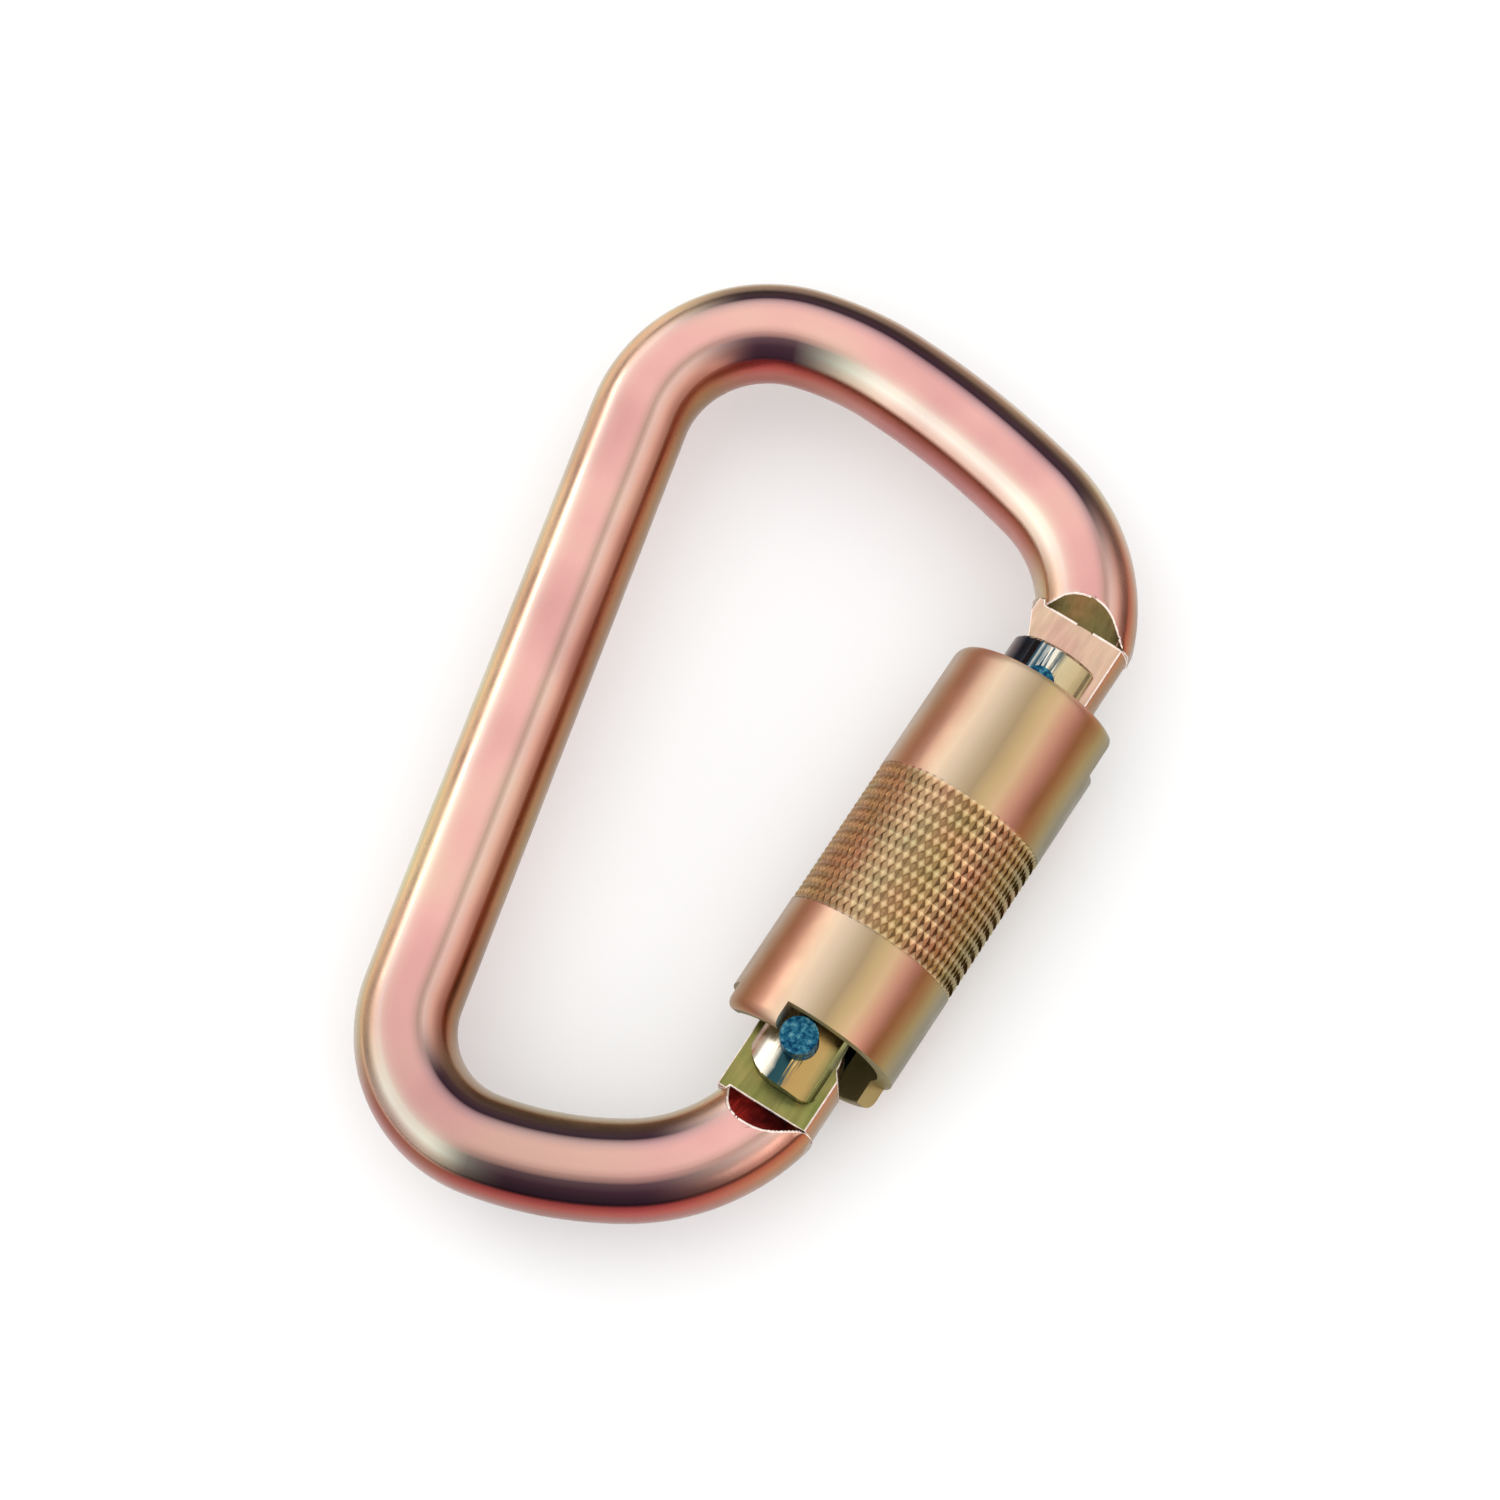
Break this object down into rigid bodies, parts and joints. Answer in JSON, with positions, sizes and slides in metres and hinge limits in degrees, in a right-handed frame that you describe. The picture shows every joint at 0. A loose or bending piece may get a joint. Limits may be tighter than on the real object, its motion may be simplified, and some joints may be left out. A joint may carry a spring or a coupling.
{
  "type": "locking carabiner",
  "caption": "Auto-locking carabiner: bent steel bar with milled nose and hinge tangs, a hinged gate rod with a riveted latch, and a spring-loaded twist sleeve.",
  "frame": {"origin": "centre of the overall box, at its lowest point, with the carabiner lying flat", "axes": "+Z out of the front face (parallel to the hinge rivet), +Y along the gate from hinge to nose, +X from the spine towards the gate"},
  "size_m": [0.0698, 0.107, 0.0198],
  "materials": {
    "frame_plating": "yellow passivated zinc plating, iridescent pink and gold on the pressed face",
    "sleeve_plating": "satin yellow passivated zinc, knurled band",
    "gate_steel": "bright drawn steel with a thin clear-yellow zinc",
    "rivet_steel": "matt blue-grey zinc, peened",
    "spring_steel": "oiled spring wire"
  },
  "bodies": {
    "frame": {"frame": "frame_plating"},
    "gate": {"gate": "gate_steel", "hinge_rivet": "rivet_steel", "latch_rivet": "gate_steel", "retaining_ring": "gate_steel", "closing_spring": "spring_steel", "torsion_spring": "spring_steel"},
    "plunger": {"closing_plunger": "gate_steel"},
    "sleeve": {"lock_sleeve": "sleeve_plating"}
  },
  "joints": [
    {"name": "gate_swing", "type": "hinge", "parent": "frame", "child": "gate", "pos_m": [0.025, -0.02142, 0.0099], "axis": [0, 0, 1], "range_deg": [0, 40], "stiffness_Nm_per_rad": 0.06, "springref_deg": -45.84},
    {"name": "sleeve_twist", "type": "hinge", "parent": "gate", "child": "sleeve", "pos_m": [0.025, -0.02142, 0.0099], "axis": [0, -1, 0], "range_deg": [0, 90.5], "stiffness_Nm_per_rad": 0.01, "springref_deg": -68.75, "deforming": ["torsion_spring"]},
    {"name": "plunger_slide", "type": "slide", "parent": "gate", "child": "plunger", "axis": [0, 1, 0], "range_m": [0, 0.00101], "deforming": ["closing_spring"]}
  ],
  "couplings": [
    {"joint": "sleeve_twist", "follows": "gate_swing", "ratio": 2.25},
    {"joint": "plunger_slide", "follows": "gate_swing", "m_per_rad": 0.0014324}
  ]
}
